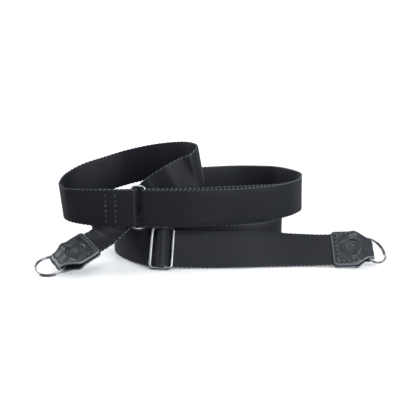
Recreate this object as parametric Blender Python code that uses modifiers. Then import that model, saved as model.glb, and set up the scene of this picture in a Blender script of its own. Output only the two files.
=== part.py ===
"""Coiled camera strap.

A webbing strap stands on edge in a loose coil. The long webbing starts in the
right leather tab, runs through the wire adjuster, goes round the coil twice,
folds round the link ring and comes back beside itself to the adjuster's centre
bar. The short webbing is sewn to the other side of the link ring, makes a
raised loop of its own and comes down to the left leather tab. Each tab holds a
split ring.

Units are metres, +Z is up and the strap is seen from -Y. Its origin is at the
centre of its box, on the surface that it stands on.
"""

import math

import bmesh
import bpy
import numpy as np
from mathutils import Matrix, Vector

# Webbing
WEBBING_WIDTH = 0.025
WEBBING_THICKNESS = 0.0011
STITCHED_FLAP_LENGTH = 0.022
ADJUSTER_FLAP_LENGTH = 0.014
FLAP_RISE = 0.0010

# Coil: the radius that the routes below follow
COIL_RADIUS = 0.060

# Metal wire loops
WIRE_DIAMETER = 0.0018
CENTRE_BAR_DIAMETER = 0.0016
SLIDER_PITCH = 0.0071
SLIDER_CORNER_RADIUS = 0.0025
LINK_RING_PITCH = 0.0080
LINK_RING_CROWN = 0.0017

# Leather tabs
LEATHER_THICKNESS = 0.0012
TAB_LENGTH = 0.0273
TAB_WIDTH = 0.0270
TAB_LOOP_WIDTH = 0.0150
TAB_SHOULDER = 0.0155
TAB_INSERT = 0.0120
TAB_LOOP_ROOM = 0.0046
TAB_SWELL = 0.0040

# Split rings
RING_DIAMETER = 0.0198
RING_WIRE = 0.0011
RING_TURN_GAP = 0.00012
RING_TURNS = 1.94

# Clearances
PIECE_GAP = 0.0003
EDGE_CLEARANCE = 0.0002
LAYER_GAP = 0.0003
LAYER_PARTING = 0.0045
PARTED_LENGTH = 0.095

# Sampling
ROUTE_STEP = 0.0055
FINE_STEP = 0.0009
FOLD_STEPS = 7
RING_STEPS = 54

WIRE_OPENING = WEBBING_WIDTH + 2 * EDGE_CLEARANCE
SLIDER_HEIGHT = WIRE_OPENING + 2 * WIRE_DIAMETER
LAYER_PITCH = WEBBING_THICKNESS + LAYER_GAP
FOLD_RADIUS = WIRE_DIAMETER / 2 + PIECE_GAP + WEBBING_THICKNESS / 2

# Routes of the lower edge. across and deep are shares of COIL_RADIUS from the
# coil's centre, lift is a share of SLIDER_HEIGHT, and lean is in degrees, from
# standing on edge towards the inside of the bend.
ROUTE_COLUMNS = ("across", "deep", "lift", "lean")
SLIDER_ACROSS = -0.530
LONG_ROUTE = (
    # Front run, from the right leather tab to the adjuster, leaning on the coil
    (1.355, -0.827, 0.066, 53),
    (1.260, -0.818, 0.055, 53),
    (1.100, -0.805, 0.030, 50),
    (0.920, -0.800, 0.020, 47),
    (0.760, -0.808, 0.018, 42),
    (0.540, -0.820, 0.016, 37),
    (0.320, -0.840, 0.016, 34),
    (0.000, -0.852, 0.018, 34),
    (-0.280, -0.860, 0.033, 34),
    (SLIDER_ACROSS, -0.864, 0.045, 33),
    # Lower turn: left, back, right
    (-0.650, -0.844, 0.043, 34),
    (-0.720, -0.788, 0.036, 29),
    (-0.830, -0.690, 0.018, 14),
    (-0.990, -0.508, 0.004, 3),
    (-1.125, -0.267, 0.0, 0),
    (-1.160, 0.0, 0.0, 0),
    (-1.100, 0.300, 0.0, 0),
    (-0.917, 0.633, 0.0, 0),
    (-0.583, 0.883, 0.0, 0),
    (-0.133, 1.0, 0.0, 0),
    (0.300, 0.930, 0.0, 0),
    (0.620, 0.680, 0.0, 0),
    (0.815, 0.350, 0.0, 0),
    (0.868, 0.050, 0.0, 0),
    (0.830, -0.230, 0.0, 0),
    (0.692, -0.400, 0.0, 0),
    # Second pass behind the front run, then a climb on the inside
    (0.450, -0.530, 0.0, 0),
    (0.000, -0.583, 0.0, 0),
    (-0.333, -0.583, 0.004, 0),
    (-0.567, -0.500, 0.035, 0),
    (-0.700, -0.333, 0.170, 0),
    (-0.770, -0.083, 0.420, 0),
    (-0.745, 0.167, 0.655, 0),
    (-0.600, 0.480, 0.785, 0),
    (-0.333, 0.730, 0.862, 0),
    (0.137, 0.915, 0.877, 0),
    # Upper turn: back, right and front, to the link ring
    (0.418, 0.975, 0.875, 0),
    (0.697, 0.965, 0.873, 0),
    (0.893, 0.908, 0.874, 0),
    (1.068, 0.700, 0.870, 0),
    (1.158, 0.420, 0.868, 0),
    (1.135, 0.130, 0.872, 2),
    (1.090, 0.010, 0.876, 0),
    (0.950, -0.200, 0.880, -3),
    (0.733, -0.377, 0.882, -5),
    (0.327, -0.560, 0.886, -6),
    (0.107, -0.640, 0.890, -4),
    (-0.212, -0.725, 0.900, 0),
    (-0.473, -0.735, 0.904, 0),
    (-0.707, -0.735, 0.904, 0),
)
# The short webbing starts at the link ring, one ring pitch past the long one.
SHORT_ROUTE = (
    # Front run and left end
    (-1.130, -0.735, 0.912, -1),
    (-1.317, -0.683, 0.912, -5),
    (-1.560, -0.583, 0.945, -12),
    (-1.645, -0.500, 0.985, -6),
    (-1.663, -0.383, 1.030, 0),
    (-1.600, -0.217, 1.130, 0),
    # Back run, rising to the tight turn
    (-1.422, -0.033, 1.300, 0),
    (-1.208, 0.083, 1.415, 0),
    (-1.020, 0.137, 1.520, 0),
    (-0.777, 0.133, 1.645, 0),
    (-0.538, 0.083, 1.741, 0),
    (-0.240, -0.030, 1.814, 6),
    (-0.075, -0.200, 1.790, 14),
    # Return, down to the left leather tab
    (-0.110, -0.383, 1.660, 8),
    (-0.308, -0.483, 1.465, 2),
    (-0.473, -0.525, 1.234, 2),
    (-0.608, -0.558, 1.020, 8),
    (-0.750, -0.610, 0.930, 35),
    (-0.842, -0.675, 0.893, 60),
    (-0.933, -0.767, 0.750, 72),
    (-1.033, -0.868, 0.603, 75),
    (-1.162, -0.950, 0.462, 75),
)

# How each tab bends outward from its shoulder to its nose, how much further the
# ring tips, how far the ring's centre stands past the nose, and how far it has
# slipped along the tab's width, in shares of the ring's diameter
TAB_COLUMNS = ("bend", "tip", "overhang", "slip")
RIGHT_TAB = dict(zip(TAB_COLUMNS, (-34, -4, 0.05, 0.05)))
LEFT_TAB = dict(zip(TAB_COLUMNS, (10, 8, 0.11, 0.0)))

COLLECTION_NAME = "coiled_camera_strap"


def unit(vectors):
    """Return vectors scaled to length one along their last axis."""
    return vectors / np.linalg.norm(vectors, axis=-1, keepdims=True)


def route_point(row):
    """Return a table row as a point of the lower edge and a lean in radians."""
    knot = dict(zip(ROUTE_COLUMNS, row))
    return np.array(
        [
            knot["across"] * COIL_RADIUS,
            knot["deep"] * COIL_RADIUS,
            knot["lift"] * SLIDER_HEIGHT,
            math.radians(knot["lean"]),
        ]
    )


class Route:
    """A smooth lower edge with the frame of the webbing along it."""

    def __init__(self, knots):
        chord = np.linalg.norm(np.diff(knots[:, :3], axis=0), axis=1)
        at = np.concatenate([[0.0], np.cumsum(np.sqrt(chord))])
        slope = np.gradient(knots, at, axis=0)
        dense = []
        for i in range(len(knots) - 1):
            span = at[i + 1] - at[i]
            t = np.linspace(0.0, 1.0, 40, endpoint=False)[:, None]
            dense.append(
                (2 * t**3 - 3 * t**2 + 1) * knots[i]
                + (t**3 - 2 * t**2 + t) * span * slope[i]
                + (3 * t**2 - 2 * t**3) * knots[i + 1]
                + (t**3 - t**2) * span * slope[i + 1]
            )
        dense.append(knots[-1:])
        self.samples = np.concatenate(dense)
        steps = np.linalg.norm(np.diff(self.samples[:, :3], axis=0), axis=1)
        self.distance = np.concatenate([[0.0], np.cumsum(steps)])
        self.length = self.distance[-1]
        self.tangents = unit(np.gradient(self.samples[:, :3], self.distance, axis=0))

    def sample(self, distances):
        """Return lower edge, along, width and inward vectors at distances."""
        distances = np.atleast_1d(distances)
        inside = np.clip(distances, 0.0, self.length)
        edge = np.stack(
            [np.interp(inside, self.distance, self.samples[:, i]) for i in range(3)], axis=1
        )
        lean = np.interp(inside, self.distance, self.samples[:, 3])[:, None]
        along = unit(
            np.stack(
                [np.interp(inside, self.distance, self.tangents[:, i]) for i in range(3)], axis=1
            )
        )
        edge = edge + along * (distances - inside)[:, None]
        up = np.array([0.0, 0.0, 1.0])
        upright = unit(up - along * (along @ up)[:, None])
        inward = np.cross(along, upright)
        width = upright * np.cos(lean) + inward * np.sin(lean)
        return edge, along, width, np.cross(along, width)


def arc_points(centre, start, sideways, radius):
    """Return the inner points of a half circle from start, bulging sideways."""
    angles = np.linspace(0.0, math.pi, FOLD_STEPS + 2)[1:-1, None]
    return centre + radius * (np.cos(angles) * start + np.sin(angles) * sideways)


def strip(edges, widths):
    """Join the parts of a webbing's path into one list of edges and widths."""
    return np.concatenate(edges), np.concatenate(widths)


def repeat(vector, count):
    """Return a vector repeated as rows."""
    return np.tile(vector, (count, 1))


def long_webbing(route, slider_at):
    """Return the path of the long webbing, from the right tab to its flap."""
    start = -TAB_INSERT
    near = SLIDER_PITCH + ROUTE_STEP / 2
    running = np.concatenate(
        [
            np.arange(start, slider_at - near, ROUTE_STEP),
            np.arange(slider_at - near, slider_at + near, FINE_STEP),
            np.arange(slider_at + near, route.length - ROUTE_STEP / 2, ROUTE_STEP),
            [route.length],
        ]
    )
    edge, along, width, inward = route.sample(running)
    from_slider = np.clip((running - slider_at) / SLIDER_PITCH, -1.0, 1.0)[:, None]
    over_bar = centre_bar_reach() + FOLD_RADIUS
    outer = edge - inward * over_bar * (1 + np.cos(math.pi * from_slider)) / 2

    # The second layer lies inside the first, and parts from it near the ring.
    second = running >= slider_at
    direction = unit(np.gradient(outer, axis=0))
    side = unit(np.cross(direction, width))[second]
    to_ring = (route.length - running[second])[:, None]
    parting = (2 * FOLD_RADIUS - LAYER_PITCH) * np.exp(-to_ring / (6 * FOLD_RADIUS))
    slack = LAYER_PARTING * np.sin(math.pi * np.clip(to_ring / PARTED_LENGTH, 0, 1))
    inner = outer[second] + side * (LAYER_PITCH + parting + slack)

    ring_centre = edge[-1] + inward[-1] * FOLD_RADIUS
    fold = arc_points(ring_centre, -inward[-1], along[-1], FOLD_RADIUS)
    bar_edge, bar_along, bar_width, bar_inward = (v[0] for v in route.sample(slider_at))
    bar_centre = bar_edge - bar_inward * FOLD_RADIUS
    bar_radius = centre_bar_reach() - LAYER_PITCH
    wrap = arc_points(bar_centre, -bar_inward, -bar_along, bar_radius)
    near_bar = np.linspace(0.15, 1.0, 5) * SLIDER_PITCH
    past_bar = SLIDER_PITCH + np.linspace(0.3, 1.0, 3) * ADJUSTER_FLAP_LENGTH
    flap_at = slider_at + np.append(near_bar, past_bar)
    flap_edge, _, flap_width, flap_inward = route.sample(flap_at)
    share = np.clip((flap_at - slider_at) / SLIDER_PITCH, 0.0, 1.0)[:, None]
    behind = 2 * LAYER_PITCH + LAYER_GAP
    begin = bar_radius - FOLD_RADIUS
    flap = flap_edge + flap_inward * (begin + (behind - begin) * share)
    flap = flap + flap_width * FLAP_RISE * share
    return strip(
        [outer, fold, inner[::-1], wrap, flap],
        [
            width,
            repeat(width[-1], FOLD_STEPS),
            width[second][::-1],
            repeat(bar_width, FOLD_STEPS),
            flap_width,
        ],
    )


def centre_bar_reach():
    """Return how far the running layer passes in front of the bar's axis."""
    return CENTRE_BAR_DIAMETER / 2 + 2 * PIECE_GAP + LAYER_PITCH + WEBBING_THICKNESS / 2


def short_webbing(route):
    """Return the path of the short webbing, from its stitched flap to its tab."""
    main = np.append(
        np.arange(0.0, route.length - ROUTE_STEP / 2, ROUTE_STEP * 0.8), route.length + TAB_INSERT
    )
    edge, along, width, inward = route.sample(main)
    flap_at = np.linspace(STITCHED_FLAP_LENGTH, 0.0, 9)
    flap_edge, _, flap_width, flap_inward = route.sample(flap_at)
    parting = (2 * FOLD_RADIUS - LAYER_PITCH) * np.exp(-flap_at / (3 * FOLD_RADIUS))
    flap = flap_edge + flap_inward * (LAYER_PITCH + parting[:, None])
    ring_centre = edge[0] + inward[0] * FOLD_RADIUS
    fold = arc_points(ring_centre, inward[0], -along[0], FOLD_RADIUS)
    return strip([flap, fold, edge], [flap_width, repeat(width[0], FOLD_STEPS), width])


def material(name, colour, roughness, metallic):
    """Return a Principled material."""
    made = bpy.data.materials.new(name)
    made.use_nodes = True
    shader = made.node_tree.nodes["Principled BSDF"]
    shader.inputs["Base Color"].default_value = (*colour, 1.0)
    shader.inputs["Roughness"].default_value = roughness
    shader.inputs["Metallic"].default_value = metallic
    return made


def add_object(name, data, finish, home):
    """Add a mesh or curve to the collection under its node's name."""
    made = bpy.data.objects.new(name, data)
    data.materials.append(finish)
    home.objects.link(made)
    return made


def sheet(name, lower, upper, thickness, finish, home, columns=2):
    """Make a strip between two edges and thicken it about its middle."""
    mesh = bpy.data.meshes.new(name)
    shell = bmesh.new()
    shares = np.linspace(0.0, 1.0, columns)[:, None]
    rows = [
        [shell.verts.new(point) for point in low + (high - low) * shares]
        for low, high in zip(lower, upper)
    ]
    for first, second in zip(rows, rows[1:]):
        for i in range(columns - 1):
            shell.faces.new((first[i], second[i], second[i + 1], first[i + 1]))
    shell.to_mesh(mesh)
    shell.free()
    made = add_object(name, mesh, finish, home)
    wall = made.modifiers.new("wall", "SOLIDIFY")
    wall.thickness = thickness
    wall.offset = 0.0
    wall.use_even_offset = True
    return made


def wire(name, points, diameter, closed, finish, home):
    """Make a round wire through points."""
    curve = bpy.data.curves.new(name, "CURVE")
    curve.dimensions = "3D"
    curve.bevel_depth = diameter / 2
    curve.bevel_resolution = 2
    curve.use_fill_caps = not closed
    line = curve.splines.new("POLY")
    line.points.add(len(points) - 1)
    for knot, point in zip(line.points, points):
        knot.co = (*point, 1.0)
    line.use_cyclic_u = closed
    return add_object(name, curve, finish, home)


def to_mesh(made):
    """Turn a curve object into a mesh object of the same name."""
    bpy.context.view_layer.update()
    view = bpy.context.evaluated_depsgraph_get()
    mesh = bpy.data.meshes.new_from_object(made.evaluated_get(view))
    welded = bmesh.new()
    welded.from_mesh(mesh)
    bmesh.ops.remove_doubles(welded, verts=welded.verts, dist=1e-6)
    welded.to_mesh(mesh)
    welded.free()
    name = made.name
    home = made.users_collection[0]
    place = made.matrix_world.copy()
    bpy.data.objects.remove(made)
    solid = bpy.data.objects.new(name, mesh)
    solid.matrix_world = place
    home.objects.link(solid)
    return solid


def rounded_loop(half_across, half_up, corner, steps=5):
    """Return a rectangle with round corners, as pairs across and up."""
    turns = np.linspace(0.0, math.pi / 2, steps + 1)
    pairs = []
    for quarter in range(4):
        sign_across = (1, -1, -1, 1)[quarter]
        sign_up = (1, 1, -1, -1)[quarter]
        for turn in turns:
            angle = turn + quarter * math.pi / 2
            pairs.append(
                (
                    sign_across * (half_across - corner) + corner * math.cos(angle),
                    sign_up * (half_up - corner) + corner * math.sin(angle),
                )
            )
    return pairs


def crowned_loop(half_across, half_up, crown, steps=8):
    """Return an upright loop with straight sides and bowed ends."""
    sweep = np.linspace(0.0, math.pi, steps + 1)
    top = [(half_across * math.cos(a), half_up + crown * math.sin(a)) for a in sweep]
    bottom = [(-across, -up) for across, up in top]
    return top + bottom


def place_loop(pairs, centre, across, up):
    """Return the points of a flat loop at its place."""
    return [centre + across * a + up * u for a, u in pairs]


def adjuster_slider(route, slider_at, finish, home):
    """Make the wire frame and its centre bar as one solid."""
    edge, along, width, inward = (v[0] for v in route.sample(slider_at))
    centre = edge + width * WEBBING_WIDTH / 2 - inward * FOLD_RADIUS
    half_up = (WIRE_OPENING + WIRE_DIAMETER) / 2
    pairs = rounded_loop(SLIDER_PITCH, half_up, SLIDER_CORNER_RADIUS)
    frame = wire(
        "adjuster_slider", place_loop(pairs, centre, along, width), WIRE_DIAMETER, True, finish, home
    )
    bar_ends = [centre - width * half_up, centre + width * half_up]
    bar = wire("slider_centre_bar", bar_ends, CENTRE_BAR_DIAMETER, False, finish, home)
    frame = to_mesh(frame)
    bar = to_mesh(bar)
    join = frame.modifiers.new("join", "BOOLEAN")
    join.operation = "UNION"
    join.solver = "EXACT"
    join.object = bar
    bpy.context.view_layer.update()
    view = bpy.context.evaluated_depsgraph_get()
    mesh = bpy.data.meshes.new_from_object(frame.evaluated_get(view))
    bpy.data.objects.remove(bar)
    bpy.data.objects.remove(frame)
    mesh.name = "adjuster_slider"
    solid = bpy.data.objects.new("adjuster_slider", mesh)
    home.objects.link(solid)
    if not mesh.materials:
        mesh.materials.append(finish)
    return solid


def link_ring(route, finish, home):
    """Make the crowned wire ring that both webbings fold round."""
    edge, along, width, inward = (v[0] for v in route.sample(route.length))
    centre = edge + width * WEBBING_WIDTH / 2 + inward * FOLD_RADIUS
    centre = centre + along * LINK_RING_PITCH / 2
    pairs = crowned_loop(LINK_RING_PITCH / 2, WIRE_OPENING / 2, LINK_RING_CROWN)
    points = place_loop(pairs, centre, along, width)
    return wire("link_ring", points, WIRE_DIAMETER, True, finish, home)


def tab_line(droop, distance):
    """Return along and outward distances of the tab's middle line."""
    bend_length = TAB_LENGTH - TAB_SHOULDER
    past = max(distance - TAB_SHOULDER, 0.0)
    if abs(droop) < 1e-6 or past == 0.0:
        return distance, 0.0, 0.0
    angle = droop * min(past / bend_length, 1.0)
    radius = bend_length / droop
    beyond = max(past - bend_length, 0.0)
    along = TAB_SHOULDER + radius * math.sin(angle) + beyond * math.cos(angle)
    outward = radius * (1 - math.cos(angle)) + beyond * math.sin(angle)
    return along, outward, angle


def tab_half_gap(distance):
    """Return half the room between the two leather layers."""
    webbing_room = WEBBING_THICKNESS / 2 + PIECE_GAP
    share = np.clip((distance - TAB_INSERT - PIECE_GAP) / TAB_SWELL, 0.0, 1.0)
    return webbing_room + (TAB_LOOP_ROOM / 2 - webbing_room) * share


def leather_tab(name, rear, along, width, inward, droop, finish, home):
    """Make one folded leather strap end round its ring."""
    nose_radius = tab_half_gap(TAB_LENGTH) + LEATHER_THICKNESS / 2
    nose_at = TAB_LENGTH - nose_radius - LEATHER_THICKNESS / 2
    flats = np.concatenate(
        [[0.0, TAB_INSERT + PIECE_GAP], np.linspace(TAB_SHOULDER, nose_at, 9)]
    )
    profile = []
    for distance in flats:
        profile.append((distance, tab_half_gap(distance) + LEATHER_THICKNESS / 2))
    for angle in np.linspace(math.pi / 2, -math.pi / 2, 9)[1:-1]:
        profile.append((nose_at + nose_radius * math.cos(angle), nose_radius * math.sin(angle)))
    for distance in flats[::-1]:
        profile.append((distance, -tab_half_gap(distance) - LEATHER_THICKNESS / 2))
    lower, upper = [], []
    for distance, side in profile:
        ahead, outward, angle = tab_line(droop, distance)
        ahead -= side * math.sin(angle)
        outward += side * math.cos(angle)
        taper = np.clip((distance - TAB_SHOULDER) / (nose_at - TAB_SHOULDER), 0.0, 1.0)
        half = (TAB_WIDTH + (TAB_LOOP_WIDTH - TAB_WIDTH) * taper) / 2
        middle = rear + along * ahead - inward * outward
        lower.append(middle - width * half)
        upper.append(middle + width * half)
    return sheet(name, lower, upper, LEATHER_THICKNESS, finish, home, columns=4)


def split_ring(name, rear, along, width, inward, settings, finish, home):
    """Make a double-wound split ring that tips about its tab's nose."""
    nose_radius = TAB_LOOP_ROOM / 2 + LEATHER_THICKNESS
    droop = math.radians(settings["bend"])
    ahead, outward, angle = tab_line(droop, TAB_LENGTH - nose_radius)
    angle += math.radians(settings["tip"])
    forward = along * math.cos(angle) - inward * math.sin(angle)
    centre = rear + along * ahead - inward * outward
    centre = centre + forward * (nose_radius + settings["overhang"] * RING_DIAMETER)
    centre = centre + width * settings["slip"] * RING_DIAMETER
    axis = np.cross(forward, width)
    pitch = RING_WIRE + RING_TURN_GAP
    radius = (RING_DIAMETER - RING_WIRE) / 2
    points = []
    for turned in np.linspace(0.0, RING_TURNS, RING_STEPS):
        turn = 2 * math.pi * turned
        lift = pitch * (turned - RING_TURNS / 2)
        points.append(
            centre + radius * (math.cos(turn) * forward + math.sin(turn) * width) + axis * lift
        )
    return wire(name, points, RING_WIRE, False, finish, home)


def build():
    """Build the strap."""
    for old in list(bpy.data.objects):
        bpy.data.objects.remove(old)
    home = bpy.data.collections.new(COLLECTION_NAME)
    bpy.context.scene.collection.children.link(home)

    black_webbing = material("woven black polyester webbing", (0.012, 0.012, 0.013), 0.75, 0.0)
    black_leather = material("black cowhide leather", (0.035, 0.036, 0.038), 0.45, 0.0)
    steel = material("polished nickel-plated steel", (0.62, 0.62, 0.63), 0.18, 1.0)

    long_route = Route(np.array([route_point(row) for row in LONG_ROUTE]))
    slider_at = slider_distance(long_route)
    edge, along, width, inward = (v[0] for v in long_route.sample(long_route.length))
    start = np.append(edge + along * LINK_RING_PITCH, 0.0)
    short_rows = [start] + [route_point(row) for row in SHORT_ROUTE]
    short_route = Route(np.array(short_rows))

    lower, widths = long_webbing(long_route, slider_at)
    sheet(
        "webbing_long",
        lower,
        lower + widths * WEBBING_WIDTH,
        WEBBING_THICKNESS,
        black_webbing,
        home,
    )
    lower, widths = short_webbing(short_route)
    sheet(
        "webbing_short",
        lower,
        lower + widths * WEBBING_WIDTH,
        WEBBING_THICKNESS,
        black_webbing,
        home,
    )
    adjuster_slider(long_route, slider_at, steel, home)
    link_ring(long_route, steel, home)

    ends = (
        ("right", long_route.sample(0.0), -1.0, RIGHT_TAB),
        ("left", short_route.sample(short_route.length), 1.0, LEFT_TAB),
    )
    for side, frame, outward, settings in ends:
        edge, along, width, inward = (v[0] for v in frame)
        rear = edge + width * WEBBING_WIDTH / 2
        leather_tab(
            "leather_tab_" + side,
            rear,
            along * outward,
            width,
            inward,
            math.radians(settings["bend"]),
            black_leather,
            home,
        )
        split_ring(
            "split_ring_" + side, rear, along * outward, width, inward, settings, steel, home
        )
    set_origin(home)


def set_origin(home):
    """Move the strap so that its origin is at its box's bottom centre."""
    bpy.context.view_layer.update()
    view = bpy.context.evaluated_depsgraph_get()
    corners = []
    for made in home.objects:
        mesh = made.evaluated_get(view).to_mesh()
        corners += [vertex.co.copy() for vertex in mesh.vertices]
        made.evaluated_get(view).to_mesh_clear()
    low = [min(corner[axis] for corner in corners) for axis in range(3)]
    high = [max(corner[axis] for corner in corners) for axis in range(3)]
    move = Vector((-(low[0] + high[0]) / 2, -(low[1] + high[1]) / 2, -low[2]))
    for made in home.objects:
        made.data.transform(Matrix.Translation(move))


def slider_distance(route):
    """Return where along the route the adjuster's centre bar is."""
    ahead = np.argmax(route.samples[:, 0] < SLIDER_ACROSS * COIL_RADIUS)
    return route.distance[ahead]


build()
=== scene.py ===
"""Coiled camera strap: the visual model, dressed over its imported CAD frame.

A 25 mm webbing strap stands on edge in a loose coil. The long webbing runs from
the right leather tab through the wire slider, twice round the coil, about the
link ring and back beside itself to the slider's centre bar. The short webbing
is sewn to the other side of the link ring, makes a raised loop and comes down
to the left leather tab. Each tab is folded round a split ring.

Units are metres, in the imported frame: +Z is up and the strap is seen from -Y.
"""

import logging
import math
from dataclasses import dataclass, field
from enum import Enum
from typing import Optional

import bpy
import numpy as np
from mathutils import Matrix, Vector

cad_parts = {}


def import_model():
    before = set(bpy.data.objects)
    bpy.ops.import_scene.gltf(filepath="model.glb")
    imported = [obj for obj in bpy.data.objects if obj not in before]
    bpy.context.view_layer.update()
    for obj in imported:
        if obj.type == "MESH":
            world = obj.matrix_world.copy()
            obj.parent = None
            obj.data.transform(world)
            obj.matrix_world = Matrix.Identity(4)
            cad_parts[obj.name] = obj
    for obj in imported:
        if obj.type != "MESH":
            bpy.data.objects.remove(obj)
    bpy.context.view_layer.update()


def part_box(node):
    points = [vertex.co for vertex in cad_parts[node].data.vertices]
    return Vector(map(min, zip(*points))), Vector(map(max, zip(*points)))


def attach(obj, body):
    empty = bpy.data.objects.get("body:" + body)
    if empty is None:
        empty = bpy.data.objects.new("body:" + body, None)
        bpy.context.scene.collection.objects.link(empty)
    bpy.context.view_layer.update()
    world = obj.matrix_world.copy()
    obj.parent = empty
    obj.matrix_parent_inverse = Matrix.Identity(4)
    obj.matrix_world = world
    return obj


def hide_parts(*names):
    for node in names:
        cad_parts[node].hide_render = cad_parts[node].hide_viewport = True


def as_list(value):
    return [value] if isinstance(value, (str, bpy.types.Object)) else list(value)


LOG = logging.getLogger("camera_strap")
MILLIMETRE = 0.001

# Sizes that the webbing, its hardware and its routes share
WEBBING_WIDTH = 0.025
WEBBING_THICKNESS = 0.0011
COIL_RADIUS = 0.060
WIRE_DIAMETER = 0.0018
CENTRE_BAR_DIAMETER = 0.0016
SLIDER_PITCH = 0.0071
SLIDER_CORNER_RADIUS = 0.0025
LINK_RING_PITCH = 0.0080
LINK_RING_CROWN = 0.0017
PIECE_GAP = 0.0003
EDGE_CLEARANCE = 0.0002
LAYER_GAP = 0.0003
WIRE_OPENING = WEBBING_WIDTH + 2 * EDGE_CLEARANCE
SLIDER_HEIGHT = WIRE_OPENING + 2 * WIRE_DIAMETER
LAYER_PITCH = WEBBING_THICKNESS + LAYER_GAP
FOLD_RADIUS = WIRE_DIAMETER / 2 + PIECE_GAP + WEBBING_THICKNESS / 2
SLIDER_ACROSS = -0.530

# Faces of the metal pieces that meet at less than this angle are shaded as one
SMOOTH_ANGLE = math.radians(50)


class Side(Enum):
    """The two ends of the strap, as seen from the front."""

    LEFT = "left"
    RIGHT = "right"


@dataclass(frozen=True)
class Knot:
    """One place on a webbing's lower edge.

    across and deep are shares of the coil's radius, lift is a share of the
    slider's height, and lean is in degrees towards the inside of the bend.
    """

    across: float
    deep: float
    lift: float
    lean: float

    def values(self) -> list[float]:
        """Return the place in metres and the lean in radians."""
        return [
            self.across * COIL_RADIUS,
            self.deep * COIL_RADIUS,
            self.lift * SLIDER_HEIGHT,
            math.radians(self.lean),
        ]


LONG_KNOTS = (
    Knot(1.355, -0.827, 0.066, 53),
    Knot(1.260, -0.818, 0.055, 53),
    Knot(1.100, -0.805, 0.030, 50),
    Knot(0.920, -0.800, 0.020, 47),
    Knot(0.760, -0.808, 0.018, 42),
    Knot(0.540, -0.820, 0.016, 37),
    Knot(0.320, -0.840, 0.016, 34),
    Knot(0.000, -0.852, 0.018, 34),
    Knot(-0.280, -0.860, 0.033, 34),
    Knot(SLIDER_ACROSS, -0.864, 0.045, 33),
    Knot(-0.650, -0.844, 0.043, 34),
    Knot(-0.720, -0.788, 0.036, 29),
    Knot(-0.830, -0.690, 0.018, 14),
    Knot(-0.990, -0.508, 0.004, 3),
    Knot(-1.125, -0.267, 0.0, 0),
    Knot(-1.160, 0.0, 0.0, 0),
    Knot(-1.100, 0.300, 0.0, 0),
    Knot(-0.917, 0.633, 0.0, 0),
    Knot(-0.583, 0.883, 0.0, 0),
    Knot(-0.133, 1.0, 0.0, 0),
    Knot(0.300, 0.930, 0.0, 0),
    Knot(0.620, 0.680, 0.0, 0),
    Knot(0.815, 0.350, 0.0, 0),
    Knot(0.868, 0.050, 0.0, 0),
    Knot(0.830, -0.230, 0.0, 0),
    Knot(0.692, -0.400, 0.0, 0),
    Knot(0.450, -0.530, 0.0, 0),
    Knot(0.000, -0.583, 0.0, 0),
    Knot(-0.333, -0.583, 0.004, 0),
    Knot(-0.567, -0.500, 0.035, 0),
    Knot(-0.700, -0.333, 0.170, 0),
    Knot(-0.770, -0.083, 0.420, 0),
    Knot(-0.745, 0.167, 0.655, 0),
    Knot(-0.600, 0.480, 0.785, 0),
    Knot(-0.333, 0.730, 0.862, 0),
    Knot(0.137, 0.915, 0.877, 0),
    Knot(0.418, 0.975, 0.875, 0),
    Knot(0.697, 0.965, 0.873, 0),
    Knot(0.893, 0.908, 0.874, 0),
    Knot(1.068, 0.700, 0.870, 0),
    Knot(1.158, 0.420, 0.868, 0),
    Knot(1.135, 0.130, 0.872, 2),
    Knot(1.090, 0.010, 0.876, 0),
    Knot(0.950, -0.200, 0.880, -3),
    Knot(0.733, -0.377, 0.882, -5),
    Knot(0.327, -0.560, 0.886, -6),
    Knot(0.107, -0.640, 0.890, -4),
    Knot(-0.212, -0.725, 0.900, 0),
    Knot(-0.473, -0.735, 0.904, 0),
    Knot(-0.707, -0.735, 0.904, 0),
)
SHORT_KNOTS = (
    Knot(-1.130, -0.735, 0.912, -1),
    Knot(-1.317, -0.683, 0.912, -5),
    Knot(-1.560, -0.583, 0.945, -12),
    Knot(-1.645, -0.500, 0.985, -6),
    Knot(-1.663, -0.383, 1.030, 0),
    Knot(-1.600, -0.217, 1.130, 0),
    Knot(-1.422, -0.033, 1.300, 0),
    Knot(-1.208, 0.083, 1.415, 0),
    Knot(-1.020, 0.137, 1.520, 0),
    Knot(-0.777, 0.133, 1.645, 0),
    Knot(-0.538, 0.083, 1.741, 0),
    Knot(-0.240, -0.030, 1.814, 6),
    Knot(-0.075, -0.200, 1.790, 14),
    Knot(-0.110, -0.383, 1.660, 8),
    Knot(-0.308, -0.483, 1.465, 2),
    Knot(-0.473, -0.525, 1.234, 2),
    Knot(-0.608, -0.558, 1.020, 8),
    Knot(-0.750, -0.610, 0.930, 35),
    Knot(-0.842, -0.675, 0.893, 60),
    Knot(-0.933, -0.767, 0.750, 72),
    Knot(-1.033, -0.868, 0.603, 75),
    Knot(-1.162, -0.950, 0.462, 75),
)


# Small helpers that the pieces share


def unit(vectors: np.ndarray) -> np.ndarray:
    """Return vectors scaled to length one along their last axis."""
    return vectors / np.linalg.norm(vectors, axis=-1, keepdims=True)


def bell(distance: np.ndarray, spread: float) -> np.ndarray:
    """Return a smooth bump of height one about zero."""
    return np.exp(-((distance / spread) ** 2))


def smooth_share(value: np.ndarray, low: float, high: float) -> np.ndarray:
    """Return how far value has gone from low to high, eased at both ends."""
    share = np.clip((value - low) / (high - low), 0.0, 1.0)
    return share * share * (3 - 2 * share)


def linear(hex_colour: str) -> tuple[float, float, float, float]:
    """Turn an sRGB hex colour into linear red, green, blue and alpha.

    Args:
        hex_colour: a colour such as "#1b1c1f".

    Returns:
        The colour as Blender's sockets take it.
    """
    parts = [int(hex_colour[i : i + 2], 16) / 255 for i in (1, 3, 5)]
    red, green, blue = (p / 12.92 if p <= 0.04045 else ((p + 0.055) / 1.055) ** 2.4 for p in parts)
    return red, green, blue, 1.0


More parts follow.
